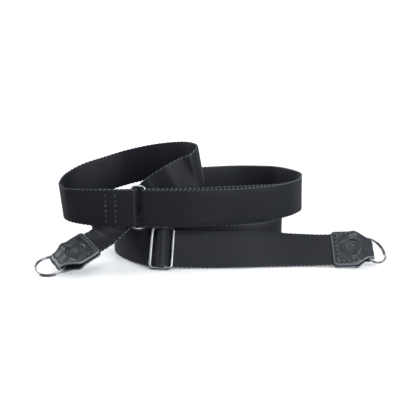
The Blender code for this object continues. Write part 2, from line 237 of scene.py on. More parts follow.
def add_node(
    tree: bpy.types.NodeTree,
    kind: str,
    settings: Optional[dict] = None,
    inputs: Optional[dict] = None,
) -> bpy.types.Node:
    """Add a node with its settings, its values and its links.

    Args:
        tree: the node tree.
        kind: the node's type.
        settings: the node's own properties.
        inputs: socket name or number to a value, or to the socket it is linked from.

    Returns:
        The new node.
    """
    node = tree.nodes.new(kind)
    for name, value in (settings or {}).items():
        setattr(node, name, value)
    set_inputs(tree, node, inputs or {})
    return node


def set_inputs(tree: bpy.types.NodeTree, node: bpy.types.Node, inputs: dict) -> None:
    """Set or link a node's sockets.

    Args:
        tree: the node tree.
        node: the node.
        inputs: socket name or number to a value, or to the socket it is linked from.
    """
    for name, value in inputs.items():
        if isinstance(value, bpy.types.NodeSocket):
            tree.links.new(value, node.inputs[name])
        else:
            node.inputs[name].default_value = value


def start_material(name: str) -> tuple[bpy.types.Material, bpy.types.NodeTree, bpy.types.Node]:
    """Start a material made of nodes.

    Args:
        name: the real material, and how its surface was made.

    Returns:
        The material, its node tree and its shader.
    """
    made = bpy.data.materials.new(name)
    made.use_nodes = True
    tree = made.node_tree
    return made, tree, tree.nodes["Principled BSDF"]


def select_only(made: bpy.types.Object) -> None:
    """Make one object the selected and active one."""
    bpy.ops.object.select_all(action="DESELECT")
    made.select_set(True)
    bpy.context.view_layer.objects.active = made


def apply_modifiers(made: bpy.types.Object) -> None:
    """Apply all of an object's modifiers in order."""
    select_only(made)
    for modifier in list(made.modifiers):
        bpy.ops.object.modifier_apply(modifier=modifier.name)


def settle(made: bpy.types.Object, place: Matrix) -> None:
    """Put an object's mesh at its place and leave the object at the origin."""
    made.data.transform(place @ made.matrix_world)
    made.matrix_world = Matrix.Identity(4)


def frame_matrix(
    centre: np.ndarray, first: np.ndarray, second: np.ndarray, third: np.ndarray
) -> Matrix:
    """Return the matrix that takes X, Y and Z to three directions about a centre.

    Args:
        centre: where the origin goes.
        first: where X points.
        second: where Y points.
        third: where Z points.

    Returns:
        The four by four matrix.
    """
    columns = np.stack([first, second, third, centre], axis=1)
    return Matrix([list(row) for row in columns] + [[0.0, 0.0, 0.0, 1.0]])


def mesh_object(
    name: str, points: np.ndarray, faces: list[tuple[int, ...]]
) -> bpy.types.Object:
    """Make a smooth-shaded mesh object from points and faces.

    Args:
        name: the piece's name.
        points: one row for each vertex, in metres.
        faces: vertex numbers of each face, turning outwards.

    Returns:
        The new object, at the origin.
    """
    mesh = bpy.data.meshes.new(name)
    mesh.from_pydata([tuple(p) for p in points], [], faces)
    mesh.polygons.foreach_set("use_smooth", [True] * len(mesh.polygons))
    mesh.update()
    made = bpy.data.objects.new(name, mesh)
    bpy.context.scene.collection.objects.link(made)
    return made


def dress(
    made: bpy.types.Object,
    finish: bpy.types.Material,
    slot: str,
    nodes: tuple[str, ...] = (),
) -> None:
    """slot: the record's material slot, which is not used.
        nodes: the CAD nodes that it replaces, if any.
    """
    made.data.materials.clear()
    made.data.materials.append(finish)
    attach(made, "root")
    if nodes:
        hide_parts(*nodes)
    LOG.info("%s: %d vertices", made.name, len(made.data.vertices))


# Finishes, one class for each real material


@dataclass(frozen=True)
class WovenPolyester:
    """Polyester webbing, woven on a narrow loom and dyed.

    To the eye it is matt and even, with a fine twill whose lines are painted shade,
    a soft sheen where it curves away, and stitch-like picks bound over both
    selvedges, each pick a painted highlight with painted shade between them.
    """

    name: str = "woven polyester webbing"
    yarn: str = "#13151a"
    worn_yarn: str = "#1c1e25"
    # Painted highlight on the selvedge's picks; painted shade between them and in the twill
    pick_highlight: str = "#4c4f55"
    shade: str = "#08080a"
    # The real twill is about 0.5 mm; it is drawn coarser so that it shows
    twill_mm: float = 1.25
    pick_mm: float = 2.9
    selvedge_mm: float = 0.35

    def build(self) -> bpy.types.Material:
        """Return the material, which reads the webbing's own map in metres."""
        made, tree, shader = start_material(self.name)
        cloth = add_node(tree, "ShaderNodeUVMap", {"uv_map": "cloth"})
        in_mm = add_node(
            tree, "ShaderNodeMapping", None, {"Vector": cloth.outputs[0], "Scale": (1000, 1000, 1)}
        )
        parts = add_node(tree, "ShaderNodeSeparateXYZ", None, {0: in_mm.outputs[0]})
        half_mm = WEBBING_WIDTH / MILLIMETRE / 2
        from_middle = add_node(
            tree, "ShaderNodeMath", {"operation": "SUBTRACT"}, {0: parts.outputs[1], 1: half_mm}
        )
        off_middle = add_node(
            tree, "ShaderNodeMath", {"operation": "ABSOLUTE"}, {0: from_middle.outputs[0]}
        )
        selvedge = add_node(
            tree,
            "ShaderNodeMapRange",
            {"interpolation_type": "SMOOTHSTEP"},
            {
                "Value": off_middle.outputs[0],
                "From Min": half_mm - self.selvedge_mm - 0.25,
                "From Max": half_mm - self.selvedge_mm + 0.15,
            },
        )
        slanted = add_node(
            tree, "ShaderNodeMath", {"operation": "MULTIPLY_ADD"},
            {0: off_middle.outputs[0], 1: 1.4, 2: parts.outputs[0]},
        )
        pick_line = add_node(tree, "ShaderNodeCombineXYZ", None, {0: slanted.outputs[0]})
        pick_wave = add_node(
            tree, "ShaderNodeTexWave", {"wave_type": "BANDS", "bands_direction": "X"},
            {"Vector": pick_line.outputs[0], "Scale": math.pi / 10 / self.pick_mm, "Distortion": 0.0},
        )
        picks = add_node(
            tree, "ShaderNodeMapRange", {"interpolation_type": "SMOOTHSTEP"},
            {"Value": pick_wave.outputs["Fac"], "From Min": 0.35, "From Max": 0.75},
        )
        twill = add_node(
            tree, "ShaderNodeTexWave", {"wave_type": "BANDS", "bands_direction": "DIAGONAL"},
            {"Vector": in_mm.outputs[0], "Scale": math.pi / 5 / self.twill_mm, "Distortion": 0.3},
        )
        rib = add_node(
            tree, "ShaderNodeTexWave", {"wave_type": "BANDS", "bands_direction": "Y"},
            {"Vector": in_mm.outputs[0], "Scale": math.pi / 10 / 0.9, "Distortion": 0.2},
        )
        mottle = add_node(
            tree, "ShaderNodeTexNoise", None,
            {"Vector": in_mm.outputs[0], "Scale": 0.06, "Detail": 4.0, "Roughness": 0.6},
        )
        body = add_node(
            tree, "ShaderNodeMix", {"data_type": "RGBA"},
            {0: mottle.outputs["Fac"], 6: linear(self.yarn), 7: linear(self.worn_yarn)},
        )
        # The twill's lines are painted shade
        twill_tone = add_node(
            tree, "ShaderNodeMapRange", None, {"Value": twill.outputs["Fac"], "To Min": 0.0, "To Max": 0.40}
        )
        woven = add_node(
            tree, "ShaderNodeMix", {"data_type": "RGBA"},
            {0: twill_tone.outputs[0], 6: body.outputs[2], 7: linear(self.shade)},
        )
        # The selvedge band: a painted highlight on each pick, painted shade between the picks
        bound = add_node(
            tree, "ShaderNodeMix", {"data_type": "RGBA"},
            {0: picks.outputs[0], 6: linear(self.shade), 7: linear(self.pick_highlight)},
        )
        colour = add_node(
            tree, "ShaderNodeMix", {"data_type": "RGBA"},
            {0: selvedge.outputs[0], 6: woven.outputs[2], 7: bound.outputs[2]},
        )
        weave_height = add_node(
            tree, "ShaderNodeMath", {"operation": "MULTIPLY_ADD"},
            {0: twill.outputs["Fac"], 1: 0.7, 2: rib.outputs["Fac"]},
        )
        height = add_node(
            tree, "ShaderNodeMix", {"data_type": "FLOAT"},
            {0: selvedge.outputs[0], 2: weave_height.outputs[0], 3: picks.outputs[0]},
        )
        relief = add_node(
            tree, "ShaderNodeBump", None,
            {"Height": height.outputs[0], "Strength": 0.30, "Distance": 0.00012},
        )
        surface = {
            "Base Color": colour.outputs[2],
            "Normal": relief.outputs[0],
            "Roughness": 0.55,
            "Specular IOR Level": 0.2,
            "Sheen Weight": 0.08,
            "Sheen Roughness": 0.30,
        }
        set_inputs(tree, shader, surface)
        return made


@dataclass(frozen=True)
class FinishedCowhide:
    """Chrome-tanned cowhide, split, dyed through and pressed smooth.

    To the eye it is a charcoal satin skin with a fine pebbled grain, cloudy
    where it was handled, with a painted highlight along the bevelled edge and
    painted shade in the lines pressed into its face.
    """

    name: str = "pressed cowhide leather"
    hide: str = "#191b1f"
    cloud: str = "#282a2f"
    # Painted highlight along the bevelled edge
    edge_highlight: str = "#5e6166"
    # Painted shade in the circle, its ring and the stitch groove
    pressed_shade: str = "#060607"
    # The real grain is about 0.4 mm; it is drawn coarser so that it shows
    grain_mm: float = 0.9
    cloud_mm: float = 6.0

    def build(self) -> bpy.types.Material:
        """Return the material, which reads the distance to the cut edge."""
        made, tree, shader = start_material(self.name)
        here = add_node(tree, "ShaderNodeTexCoord")
        cloud = add_node(
            tree,
            "ShaderNodeTexNoise",
            None,
            {
                "Vector": here.outputs["Object"],
                "Scale": 1 / (self.cloud_mm * MILLIMETRE),
                "Detail": 5.0,
                "Roughness": 0.62,
            },
        )
        grain = add_node(
            tree, "ShaderNodeTexVoronoi", {"feature": "F1"},
            {"Vector": here.outputs["Object"], "Scale": 1 / (self.grain_mm * MILLIMETRE)},
        )
        cloudy = add_node(
            tree, "ShaderNodeMapRange", None,
            {"Value": cloud.outputs["Fac"], "From Min": 0.35, "From Max": 0.68},
        )
        skin = add_node(
            tree, "ShaderNodeMix", {"data_type": "RGBA"},
            {0: cloudy.outputs[0], 6: linear(self.hide), 7: linear(self.cloud)},
        )
        # Painted highlight along the bevelled edge, near the cut
        edge = add_node(tree, "ShaderNodeAttribute", {"attribute_name": "edge_mm"})
        edge_highlight = add_node(
            tree, "ShaderNodeMapRange", {"interpolation_type": "SMOOTHSTEP"},
            {"Value": edge.outputs["Fac"], "From Min": 0.85, "From Max": 0.25},
        )
        highlit_skin = add_node(
            tree, "ShaderNodeMix", {"data_type": "RGBA"},
            {0: edge_highlight.outputs[0], 6: skin.outputs[2], 7: linear(self.edge_highlight)},
        )
        # Painted shade where the face is pressed in: the circle, its ring and the stitch groove
        pressed_shade_mask = add_node(tree, "ShaderNodeAttribute", {"attribute_name": "pressed_shade_mask"})
        colour = add_node(
            tree, "ShaderNodeMix", {"data_type": "RGBA"},
            {0: pressed_shade_mask.outputs["Fac"], 6: highlit_skin.outputs[2], 7: linear(self.pressed_shade)},
        )
        gloss = add_node(
            tree, "ShaderNodeMapRange", None,
            {"Value": cloud.outputs["Fac"], "To Min": 0.24, "To Max": 0.44},
        )
        dull = add_node(
            tree, "ShaderNodeMath", {"operation": "MULTIPLY_ADD"},
            {0: pressed_shade_mask.outputs["Fac"], 1: 0.45, 2: gloss.outputs[0]},
        )
        relief = add_node(
            tree, "ShaderNodeBump", None,
            {"Height": grain.outputs["Distance"], "Strength": 0.25, "Distance": 0.00015},
        )
        surface = {
            "Base Color": colour.outputs[2],
            "Normal": relief.outputs[0],
            "Roughness": dull.outputs[0],
            "Specular IOR Level": 0.5,
        }
        set_inputs(tree, shader, surface)
        return made


@dataclass(frozen=True)
class BondedThread:
    """Twisted polyester thread, bonded with wax: a dull, finely ridged cord, with painted shade between its
    ridges.
    """

    name: str
    strand: str
    groove: str

    def build(self) -> bpy.types.Material:
        """Return the material, with the thread's twist in its own bands."""
        made, tree, shader = start_material(self.name)
        here = add_node(tree, "ShaderNodeTexCoord")
        twist = add_node(
            tree, "ShaderNodeTexWave", {"wave_type": "BANDS", "bands_direction": "DIAGONAL"},
            {"Vector": here.outputs["Object"], "Scale": math.pi / 5 / 0.0006},
        )
        # The twist's grooves are painted shade
        colour = add_node(
            tree, "ShaderNodeMix", {"data_type": "RGBA"},
            {0: twist.outputs["Fac"], 6: linear(self.strand), 7: linear(self.groove)},
        )
        relief = add_node(
            tree, "ShaderNodeBump", None,
            {"Height": twist.outputs["Fac"], "Strength": 0.3, "Distance": 0.0001},
        )
        surface = {"Base Color": colour.outputs[2], "Normal": relief.outputs[0], "Roughness": 0.6}
        set_inputs(tree, shader, surface)
        return made


@dataclass(frozen=True)
class PrickedHole(BondedThread):
    """The inside of a hole pricked for thread: leather in shade, almost black."""

    name: str = "pricked hole in leather"
    strand: str = "#101012"
    groove: str = "#08080a"


@dataclass(frozen=True)
class NickelPlate:
    """Nickel plate on drawn steel wire, dulled by handling.

    To the eye it is a neutral satin grey, a little cloudy, whose highlights
    spread along the wire.
    """

    name: str = "satin nickel plate"
    metal: str = "#aeaeaf"
    dulled: str = "#8c8c8e"
    haze_mm: float = 2.5

    def build(self) -> bpy.types.Material:
        """Return the material."""
        made, tree, shader = start_material(self.name)
        here = add_node(tree, "ShaderNodeTexCoord")
        haze = add_node(
            tree, "ShaderNodeTexNoise", None,
            {"Vector": here.outputs["Object"], "Scale": 1 / (self.haze_mm * MILLIMETRE), "Detail": 3.0},
        )
        colour = add_node(
            tree, "ShaderNodeMix", {"data_type": "RGBA"},
            {0: haze.outputs["Fac"], 6: linear(self.metal), 7: linear(self.dulled)},
        )
        gloss = add_node(
            tree, "ShaderNodeMapRange", None, {"Value": haze.outputs["Fac"], "To Min": 0.34, "To Max": 0.42}
        )
        surface = {"Base Color": colour.outputs[2], "Roughness": gloss.outputs[0], "Metallic": 1.0}
        set_inputs(tree, shader, surface)
        return made


@dataclass(frozen=True)
class WhiteAcrylic:
    """A white acrylic sheet, lit from below and more towards its rim: faintly glossy."""

    name: str = "white acrylic sheet"
    sheet: str = "#f4f4f4"

    def build(self) -> bpy.types.Material:
        """Return the material."""
        made, tree, shader = start_material(self.name)
        here = add_node(tree, "ShaderNodeTexCoord")
        away = add_node(tree, "ShaderNodeVectorMath", {"operation": "LENGTH"}, {0: here.outputs["Object"]})
        glow = add_node(
            tree,
            "ShaderNodeMapRange",
            {"interpolation_type": "SMOOTHSTEP"},
            {
                "Value": away.outputs["Value"],
                "From Min": 0.25,
                "From Max": 0.8,
                "To Min": 0.16,
                "To Max": 1.0,
            },
        )
        surface = {
            "Base Color": linear(self.sheet),
            "Roughness": 0.18,
            "Emission Color": linear(self.sheet),
            "Emission Strength": glow.outputs[0],
        }
        set_inputs(tree, shader, surface)
        return made


# Webbing: its routes and its two lengths


class Route:
    """A smooth lower edge with the webbing's frame along it."""

    def __init__(self, knots: np.ndarray) -> None:
        """Draw the curve through knots of place and lean."""
        chord = np.linalg.norm(np.diff(knots[:, :3], axis=0), axis=1)
        at = np.concatenate([[0.0], np.cumsum(np.sqrt(chord))])
        slope = np.gradient(knots, at, axis=0)
        dense = []
        for i in range(len(knots) - 1):
            span = at[i + 1] - at[i]
            t = np.linspace(0.0, 1.0, 40, endpoint=False)[:, None]
            dense.append(
                (2 * t**3 - 3 * t**2 + 1) * knots[i]
                + (t**3 - 2 * t**2 + t) * span * slope[i]
                + (3 * t**2 - 2 * t**3) * knots[i + 1]
                + (t**3 - t**2) * span * slope[i + 1]
            )
        dense.append(knots[-1:])
        self.samples = np.concatenate(dense)
        steps = np.linalg.norm(np.diff(self.samples[:, :3], axis=0), axis=1)
        self.distance = np.concatenate([[0.0], np.cumsum(steps)])
        self.length = float(self.distance[-1])
        self.tangents = unit(np.gradient(self.samples[:, :3], self.distance, axis=0))

    def sample(
        self, distances: np.ndarray
    ) -> tuple[np.ndarray, np.ndarray, np.ndarray, np.ndarray]:
        """Return the frame of the webbing at distances along the route.

        Args:
            distances: metres from the route's start; beyond an end it runs straight on.

        Returns:
            The lower edge, and the along, width and inward directions.
        """
        distances = np.atleast_1d(distances)
        inside = np.clip(distances, 0.0, self.length)
        edge = np.stack(
            [np.interp(inside, self.distance, self.samples[:, i]) for i in range(3)], axis=1
        )
        lean = np.interp(inside, self.distance, self.samples[:, 3])[:, None]
        along = unit(
            np.stack(
                [np.interp(inside, self.distance, self.tangents[:, i]) for i in range(3)], axis=1
            )
        )
        edge = edge + along * (distances - inside)[:, None]
        up = np.array([0.0, 0.0, 1.0])
        upright = unit(up - along * (along @ up)[:, None])
        inward = np.cross(along, upright)
        width = upright * np.cos(lean) + inward * np.sin(lean)
        return edge, along, width, np.cross(along, width)

    def frame(self, distance: float) -> tuple[np.ndarray, np.ndarray, np.ndarray, np.ndarray]:
        """Return the webbing's frame at one distance."""
        edge, along, width, inward = self.sample(np.array([distance]))
        return edge[0], along[0], width[0], inward[0]


@dataclass
class Layout:
    """Where everything lies: both routes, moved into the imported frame."""

    long_route: Route
    short_route: Route
    slider_at: float

    @staticmethod
    def build() -> "Layout":
        """Draw the routes and move them so that the slider is on its CAD node.

        Returns:
            Both routes, and where the slider is on the long one.
        """
        rows = np.array([knot.values() for knot in LONG_KNOTS])
        route = Route(rows)
        ahead = int(np.argmax(route.samples[:, 0] < SLIDER_ACROSS * COIL_RADIUS))
        slider_at = float(route.distance[ahead])
        edge, _, width, inward = route.frame(slider_at)
        centre = edge + width * WEBBING_WIDTH / 2 - inward * FOLD_RADIUS
        low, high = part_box("adjuster_slider")
        move = np.array((low + high) / 2) - centre
        rows[:, :3] += move
        long_route = Route(rows)
        edge, along, _, _ = long_route.frame(long_route.length)
        start = np.append(edge + along * LINK_RING_PITCH, 0.0)
        others = np.array([knot.values() for knot in SHORT_KNOTS])
        others[:, :3] += move
        short_route = Route(np.vstack([start, others]))
        LOG.info("routes moved by %s", move.round(5).tolist())
        return Layout(long_route, short_route, slider_at)


def half_circle(
    centre: np.ndarray, start: np.ndarray, sideways: np.ndarray, radius: float, steps: int
) -> np.ndarray:
    """Return the inner points of a half circle that bulges sideways.

    Args:
        centre: the circle's centre.
        start: direction from the centre to where the half circle starts.
        sideways: direction from the centre to its middle.
        radius: the circle's radius.
        steps: how many points lie between its two ends.

    Returns:
        One row for each point.
    """
    angles = np.linspace(0.0, math.pi, steps + 2)[1:-1, None]
    return centre + radius * (np.cos(angles) * start + np.sin(angles) * sideways)


@dataclass
class Webbing:
    """One length of webbing: a flat woven strap with rounded, bound selvedges."""

    layout: Layout
    finish: bpy.types.Material
    name: str = "webbing"
    node: str = "webbing_long"
    rests_on: tuple[str, ...] = ()
    tab_insert: float = 0.0120
    step: float = 0.00058
    fold_steps: int = 15
    columns: int = 8
    pick_pitch: float = 0.0029
    pick_rise: float = 0.00008
    pick_bump: float = 0.00020
    edge_round: float = 0.00055
    bound_reach: float = 2.2

    def path(self) -> tuple[np.ndarray, np.ndarray]:
        """Return the lower edge and the width direction at each station."""
        raise NotImplementedError

    def section(self) -> np.ndarray:
        """Draw the strap's closed section, with rounded selvedges.

        Returns:
            One row of across and out for each point.
        """
        half = WEBBING_THICKNESS / 2
        inner = np.linspace(self.edge_round, WEBBING_WIDTH - self.edge_round, self.columns)
        face = [(across, half) for across in inner]
        turns = np.linspace(math.pi / 2, -math.pi / 2, 7)[1:-1]
        top = [
            (WEBBING_WIDTH - self.edge_round + self.edge_round * math.cos(a), half * math.sin(a))
            for a in turns
        ]
        back = [(across, -half) for across in inner[::-1]]
        bottom = [(WEBBING_WIDTH - across, -out) for across, out in top]
        return np.array(face + top + back + bottom)

    def build(self) -> bpy.types.Object:
        """Make the strap, map it in metres along and across, and dress it.

        Returns:
            The finished piece.
        """
        edge, width = self.path()
        middle = edge + width * WEBBING_WIDTH / 2
        gone = np.concatenate([[0.0], np.cumsum(np.linalg.norm(np.diff(middle, axis=0), axis=1))])
        out = unit(np.cross(unit(np.gradient(middle, axis=0)), width))
        section = self.section()
        count = len(section)
        across, rise = section[:, 0], section[:, 1]
        from_edge = np.minimum(across, WEBBING_WIDTH - across)
        bound = np.clip(1 - from_edge / (self.bound_reach * self.edge_round), 0.0, 1.0)
        wave = np.sin(2 * math.pi * gone / self.pick_pitch)[:, None] * bound
        swell = wave * self.pick_rise * rise / (WEBBING_THICKNESS / 2)
        bulge = wave * self.pick_bump * np.sign(across - WEBBING_WIDTH / 2)
        points = (
            edge[:, None]
            + width[:, None] * (across + bulge)[..., None]
            + out[:, None] * (rise + swell)[..., None]
        )
        stations = len(edge)
        faces = []
        for i in range(stations - 1):
            here, there = i * count, (i + 1) * count
            for j in range(count):
                k = (j + 1) % count
                faces.append((here + j, there + j, there + k, here + k))
        faces.append(tuple(range(count)))
        faces.append(tuple((stations - 1) * count + j for j in reversed(range(count))))
        made = mesh_object(self.name, points.reshape(-1, 3), faces)
        cloth = made.data.uv_layers.new(name="cloth")
        loops = np.zeros(len(made.data.loops), np.int32)
        made.data.loops.foreach_get("vertex_index", loops)
        flat = np.stack([gone[loops // count], across[loops % count]], axis=1)
        cloth.data.foreach_set("uv", flat.ravel().astype(np.float32))
        dress(made, self.finish, "webbing", (self.node,))
        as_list(self.rests_on)
        return made


@dataclass
class LongWebbing(Webbing):
    """The long webbing: one layer to the slider, two from there to the link ring."""

    name: str = "webbing_long_woven"
    node: str = "webbing_long"
    rests_on: tuple[str, ...] = ("adjuster_slider", "link_ring")
    adjuster_flap: float = 0.014
    flap_rise: float = 0.0010
    layer_parting: float = 0.0045
    parted_length: float = 0.095
    ring_closing: float = 6 * FOLD_RADIUS

    def path(self) -> tuple[np.ndarray, np.ndarray]:
        """Follow the strap from the right tab, round the ring, to the sewn flap.

        Returns:
            The lower edge and the width direction at each station.
        """
        route, slider_at = self.layout.long_route, self.layout.slider_at
        stop = route.length
        running = np.append(np.arange(-self.tab_insert, stop - self.step / 2, self.step), stop)
        edge, along, width, inward = route.sample(running)
        from_slider = np.clip((running - slider_at) / SLIDER_PITCH, -1.0, 1.0)[:, None]
        reach = self.centre_bar_reach()
        over = (reach + FOLD_RADIUS) * (1 + np.cos(math.pi * from_slider)) / 2
        outer = edge - inward * over

        second = running >= slider_at
        side = unit(np.cross(unit(np.gradient(outer, axis=0)), width))[second]
        to_ring = (stop - running[second])[:, None]
        parting = (2 * FOLD_RADIUS - LAYER_PITCH) * np.exp(-to_ring / self.ring_closing)
        slack = np.sin(math.pi * np.clip(to_ring / self.parted_length, 0, 1))
        inner = outer[second] + side * (LAYER_PITCH + parting + self.layer_parting * slack)

        ring_centre = edge[-1] + inward[-1] * FOLD_RADIUS
        fold = half_circle(ring_centre, -inward[-1], along[-1], FOLD_RADIUS, self.fold_steps)
        bar_edge, bar_along, bar_width, bar_inward = route.frame(slider_at)
        bar_centre = bar_edge - bar_inward * FOLD_RADIUS
        bar_radius = reach - LAYER_PITCH
        wrap = half_circle(bar_centre, -bar_inward, -bar_along, bar_radius, self.fold_steps)
        near = slider_at + np.linspace(0.12, 1.0, 8) * SLIDER_PITCH
        far = slider_at + SLIDER_PITCH + np.linspace(0.0, 1.0, 16)[1:] * self.adjuster_flap
        flap_at = np.append(near, far)
        flap_edge, _, flap_width, flap_inward = route.sample(flap_at)
        share = np.clip((flap_at - slider_at) / SLIDER_PITCH, 0.0, 1.0)[:, None]
        behind = 2 * LAYER_PITCH + LAYER_GAP
        begin = bar_radius - FOLD_RADIUS
        flap = flap_edge + flap_inward * (begin + (behind - begin) * share)
        flap = flap + flap_width * self.flap_rise * share
        edges = np.concatenate([outer, fold, inner[::-1], wrap, flap])
        ring_widths = np.tile(width[-1], (self.fold_steps, 1))
        bar_widths = np.tile(bar_width, (self.fold_steps, 1))
        widths = np.concatenate([width, ring_widths, width[second][::-1], bar_widths, flap_width])
        return edges, widths

    @staticmethod
    def centre_bar_reach() -> float:
        """Return how far the running layer passes in front of the bar's axis."""
        return CENTRE_BAR_DIAMETER / 2 + 2 * PIECE_GAP + LAYER_PITCH + WEBBING_THICKNESS / 2


@dataclass
class ShortWebbing(Webbing):
    """The short webbing: sewn back on itself at the link ring, then to its tab."""

    name: str = "webbing_short_woven"
    node: str = "webbing_short"
    rests_on: tuple[str, ...] = ("link_ring",)
    stitched_flap: float = 0.022
    ring_closing: float = 3 * FOLD_RADIUS

    def path(self) -> tuple[np.ndarray, np.ndarray]:
        """Follow the strap from the stitched flap, round the ring, to the left tab.

        Returns:
            The lower edge and the width direction at each station.
        """
        route = self.layout.short_route
        stop = route.length + self.tab_insert
        main = np.append(np.arange(0.0, stop - self.step / 2, self.step), stop)
        edge, along, width, inward = route.sample(main)
        flap_at = np.linspace(self.stitched_flap, 0.0, 25)
        flap_edge, _, flap_width, flap_inward = route.sample(flap_at)
        parting = (2 * FOLD_RADIUS - LAYER_PITCH) * np.exp(-flap_at / self.ring_closing)
        flap = flap_edge + flap_inward * (LAYER_PITCH + parting[:, None])
        ring_centre = edge[0] + inward[0] * FOLD_RADIUS
        fold = half_circle(ring_centre, inward[0], -along[0], FOLD_RADIUS, self.fold_steps)
        fold_widths = np.tile(width[0], (self.fold_steps, 1))
        return np.concatenate([flap, fold, edge]), np.concatenate([flap_width, fold_widths, width])


# Stitches, and the seam at the link ring


@dataclass
class Stitching:
    """A run of equal stitches, one modelled and the rest copied from it."""

    name: str
    finish: bpy.types.Material
    slot: str
    length: float
    thickness: float

    def one(self) -> bpy.types.Mesh:
        """Model one stitch: a rounded bead of thread along X.

        Returns:
            The stitch's mesh, about the origin.
        """
        bpy.ops.object.select_all(action="DESELECT")
        bpy.ops.mesh.primitive_uv_sphere_add(segments=10, ring_count=8, radius=0.5)
        bead = bpy.context.object
        bpy.ops.object.mode_set(mode="EDIT")
        bpy.ops.mesh.select_all(action="SELECT")
        bpy.ops.transform.rotate(
            value=math.pi / 2, orient_axis="Y", center_override=(0.0, 0.0, 0.0)
        )
        bpy.ops.transform.resize(value=(self.length, self.thickness, self.thickness))
        bpy.ops.object.mode_set(mode="OBJECT")
        bpy.ops.object.shade_smooth()
        mesh = bead.data
        bpy.data.objects.remove(bead)
        return mesh

    def build(self, places: list[Matrix]) -> bpy.types.Object:
        """Copy the stitch to each place and join the copies into one piece.

        Args:
            places: the frame of each stitch, with X along the thread and Z outwards.

        Returns:
            The finished piece.
        """
        first = self.one()
        copies = []
        for place in places:
            mesh = first.copy()
            mesh.transform(place)
            made = bpy.data.objects.new(self.name, mesh)
            bpy.context.scene.collection.objects.link(made)
            copies.append(made)
        bpy.ops.object.select_all(action="DESELECT")
        for made in copies:
            made.select_set(True)
        bpy.context.view_layer.objects.active = copies[0]
        bpy.ops.object.join()
        joined = bpy.context.object
        joined.name = self.name
        bpy.data.meshes.remove(first)
        dress(joined, self.finish, self.slot)
        return joined


@dataclass
class WebbingSeams:
    """The two rows of stitching that close the short webbing round the ring."""

    layout: Layout
    finish: bpy.types.Material
    row_distances: tuple[float, ...] = (0.0110, 0.0172)
    bar_heights: tuple[float, ...] = (0.0110, 0.0145)
    pitch: float = 0.0030
    margin: float = 0.0022
    slant: float = 14.0
    rise: float = WEBBING_THICKNESS / 2 + 0.0001
    stitch_length: float = 0.0021
    stitch_thickness: float = 0.00045

    def build(self) -> bpy.types.Object:
        """Sew both rows on the front of the short webbing, each with two stitches along it.

        Returns:
            The finished piece.
        """
        places = []
        for row, distance in enumerate(self.row_distances):
            edge, along, width, inward = self.layout.short_route.frame(distance)
            count = int((WEBBING_WIDTH - 2 * self.margin) / self.pitch)
            for i in range(count):
                height = self.margin + (i + 0.5) * (WEBBING_WIDTH - 2 * self.margin) / count
                turned = math.radians(self.slant * (-1) ** (i + row))
                run = width * math.cos(turned) + along * math.sin(turned)
                centre = edge + width * height - inward * self.rise
                places.append(frame_matrix(centre, run, np.cross(-inward, run), -inward))
            for height in self.bar_heights:
                centre = edge + width * height - inward * self.rise
                places.append(frame_matrix(centre, along, np.cross(-inward, along), -inward))
        size = (self.stitch_length, self.stitch_thickness)
        return Stitching("ring_seam_stitches", self.finish, "webbing", *size).build(places)


# Leather tabs


